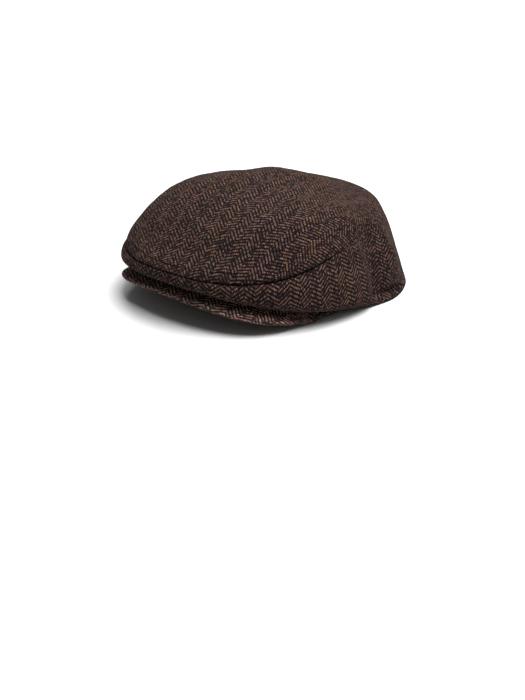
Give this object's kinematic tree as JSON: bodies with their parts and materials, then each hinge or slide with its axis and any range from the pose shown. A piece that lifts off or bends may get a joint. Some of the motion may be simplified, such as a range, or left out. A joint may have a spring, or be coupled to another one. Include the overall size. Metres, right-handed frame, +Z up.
{
  "type": "flat cap",
  "caption": "Soft herringbone tweed flat cap: a rounded top panel and a side band leaning over a stiff curved peak, open underneath for the head.",
  "frame": {"origin": "on the table, under the middle of the cap's bounding box", "axes": "+Z up; the peak points to -Y and the back of the head is at +Y; the wearer's left is +X"},
  "size_m": [0.2302, 0.2556, 0.104],
  "materials": {
    "crown_tweed": "brown and navy herringbone wool tweed, soft and slightly fuzzy",
    "band_tweed": "the same herringbone wool tweed, columns upright",
    "peak_tweed": "the same herringbone wool tweed drawn over a stiff board"
  },
  "bodies": {
    "root": {"top_panel": "crown_tweed", "side_band": "band_tweed", "peak": "peak_tweed"}
  },
  "joints": []
}
